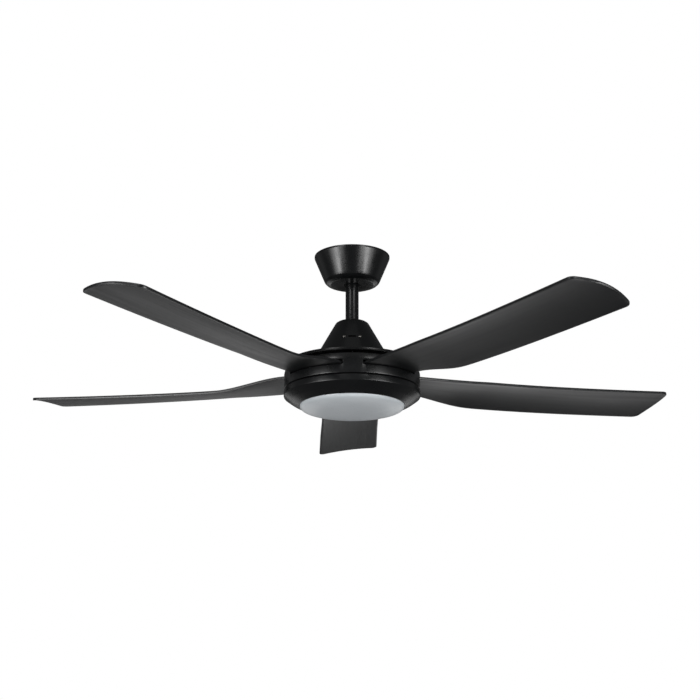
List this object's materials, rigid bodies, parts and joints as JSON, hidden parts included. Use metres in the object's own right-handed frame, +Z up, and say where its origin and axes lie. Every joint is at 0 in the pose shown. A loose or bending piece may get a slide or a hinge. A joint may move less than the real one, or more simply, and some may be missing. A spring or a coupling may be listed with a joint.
{
  "type": "ceiling fan with light",
  "caption": "Black ceiling fan on a short downrod with a canopy, twisted blades in a slotted hub, and a shallow bowl light under the motor.",
  "frame": {"origin": "middle of the hanger bracket's top face, which lies against the ceiling, on the fan's axis", "axes": "+Z up towards the ceiling along the fan's axis; -Y is the side with the two screws in the yoke cover; +X is to the right seen from that side"},
  "size_m": [1.2705, 1.2249, 0.3124],
  "materials": {
    "satin_black": "satin black powder coat",
    "blade_black": "satin black moulded plastic",
    "opal": "opal, soft satin",
    "zinc_steel": "zinc plated",
    "bright_screw": "bright nickel plated",
    "nylon": "natural nylon",
    "black_nylon": "black nylon, slightly waxy",
    "cast_aluminium": "as cast",
    "lamination_steel": "stacked sheet edges",
    "copper_winding": "enamelled wire",
    "ferrite": "sintered",
    "led_board": "white solder mask",
    "driver_case": "light grey case"
  },
  "bodies": {
    "ceiling_mount": {"hanger_bracket": "zinc_steel", "canopy": "satin_black", "canopy_screw_1": "zinc_steel", "canopy_screw_2": "zinc_steel", "terminal_block": "nylon"},
    "swing_liner": {"ball_liner": "black_nylon"},
    "hanging": {"hanger_ball": "black_nylon", "ball_pin": "zinc_steel", "downrod": "satin_black", "downrod_coupling": "cast_aluminium", "clevis_pin": "zinc_steel", "hairpin_clip": "zinc_steel", "flange_screw_1": "zinc_steel", "flange_screw_2": "zinc_steel", "yoke_cover": "satin_black", "cover_screw_1": "bright_screw", "cover_screw_2": "bright_screw", "top_cover": "satin_black", "motor_shaft": "zinc_steel", "stator_core": "lamination_steel", "stator_winding": "copper_winding", "light_housing": "satin_black", "housing_nut": "zinc_steel", "plate_nut": "zinc_steel", "led_plate": "cast_aluminium", "led_board": "led_board", "led_driver": "driver_case"},
    "rotor": {"blade_hub": "satin_black", "rotor_bell_upper": "cast_aluminium", "rotor_bell_lower": "cast_aluminium", "magnet_ring": "ferrite", "bearing_upper": "zinc_steel", "bearing_lower": "zinc_steel", "blade_1": "blade_black", "blade_2": "blade_black", "blade_3": "blade_black", "blade_4": "blade_black", "blade_5": "blade_black", "blade_screw_1a": "zinc_steel", "blade_screw_1b": "zinc_steel", "blade_screw_2a": "zinc_steel", "blade_screw_2b": "zinc_steel", "blade_screw_3a": "zinc_steel", "blade_screw_3b": "zinc_steel", "blade_screw_4a": "zinc_steel", "blade_screw_4b": "zinc_steel", "blade_screw_5a": "zinc_steel", "blade_screw_5b": "zinc_steel"},
    "diffuser": {"diffuser": "opal"}
  },
  "joints": [
    {"name": "swing_x", "type": "hinge", "parent": "ceiling_mount", "child": "swing_liner", "pos_m": [0, 0, -0.036], "axis": [1, 0, 0], "range_deg": [-6, 6]},
    {"name": "swing_y", "type": "hinge", "parent": "swing_liner", "child": "hanging", "pos_m": [0, 0, -0.036], "axis": [0, 1, 0], "range_deg": [-6, 6]},
    {"name": "fan_spin", "type": "hinge", "parent": "hanging", "child": "rotor", "pos_m": [0, 0, -0.2488], "axis": [0, 0, 1], "continuous": true},
    {"name": "diffuser_twist", "type": "hinge", "parent": "hanging", "child": "diffuser", "pos_m": [0, 0, -0.299], "axis": [0, 0, 1], "range_deg": [0, 25]}
  ]
}
